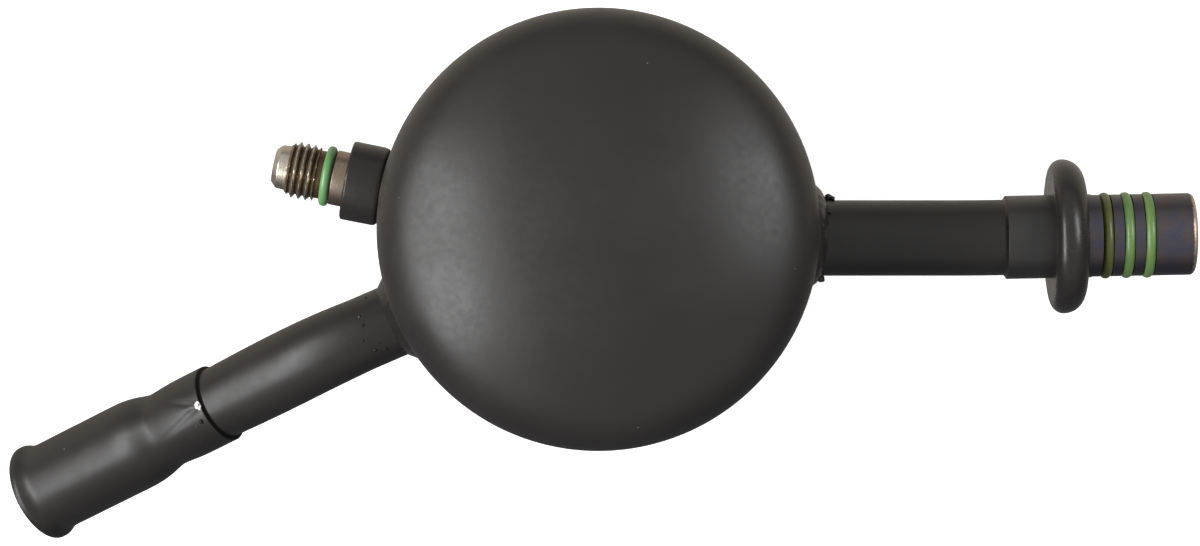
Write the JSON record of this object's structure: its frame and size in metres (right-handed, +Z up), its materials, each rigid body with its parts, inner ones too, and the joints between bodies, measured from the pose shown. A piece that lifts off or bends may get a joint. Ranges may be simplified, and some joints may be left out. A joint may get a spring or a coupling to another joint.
{
  "type": "air conditioning accumulator",
  "caption": "Black steel suction accumulator: domed can with a bent inlet tube and socket, a straight outlet spigot with sealing rings and a cage, and a threaded switch port.",
  "frame": {"origin": "on the can's axis, at the middle of the strap band: the bare wall below the girth seam by which a clamp holds the can", "axes": "+Z up the can's axis towards the dished end by the ports, +X out along the outlet tube"},
  "size_m": [0.2556, 0.1133, 0.2034],
  "materials": {
    "black_paint": "satin",
    "blued_steel": "satin",
    "bare_steel": "satin",
    "spring_steel": "polished",
    "olive_rubber": "satin",
    "green_rubber": "satin",
    "black_rubber": "matte",
    "brass": "satin",
    "white_seal": "matte",
    "nylon": "matte",
    "filter_mesh": "satin",
    "felt": "matte",
    "strap": "matte"
  },
  "bodies": {
    "vessel": {"bag_strap_1": "strap", "bag_strap_2": "strap", "coupling_cage": "black_paint", "desiccant_bag_1": "felt", "desiccant_bag_2": "felt", "garter_spring": "spring_steel", "girth_weld": "black_paint", "inlet_braze": "black_paint", "inlet_socket": "black_paint", "inlet_tube": "black_paint", "inlet_weld": "black_paint", "lower_shell": "black_paint", "oil_filter_housing": "nylon", "oil_filter_screen": "filter_mesh", "outlet_braze": "black_paint", "outlet_o_ring_1": "olive_rubber", "outlet_o_ring_2": "green_rubber", "outlet_o_ring_3": "green_rubber", "outlet_spigot": "blued_steel", "outlet_tube": "black_paint", "outlet_weld": "black_paint", "port_o_ring": "green_rubber", "port_weld": "black_paint", "switch_port": "bare_steel", "upper_shell": "black_paint", "valve_core_barrel": "brass", "valve_core_gasket": "white_seal", "valve_core_plug": "brass", "valve_spring": "spring_steel", "vapour_hood": "nylon"},
    "valve_stem": {"valve_pin": "spring_steel", "valve_pin_seal": "black_rubber"}
  },
  "joints": [
    {"name": "valve_pin_slide", "type": "slide", "parent": "vessel", "child": "valve_stem", "axis": [0.9803, -0.1977, 0], "range_m": [0, 0.0012], "stiffness_N_per_m": 2000, "springref_m": -0.0025, "deforming": ["valve_spring"]}
  ]
}
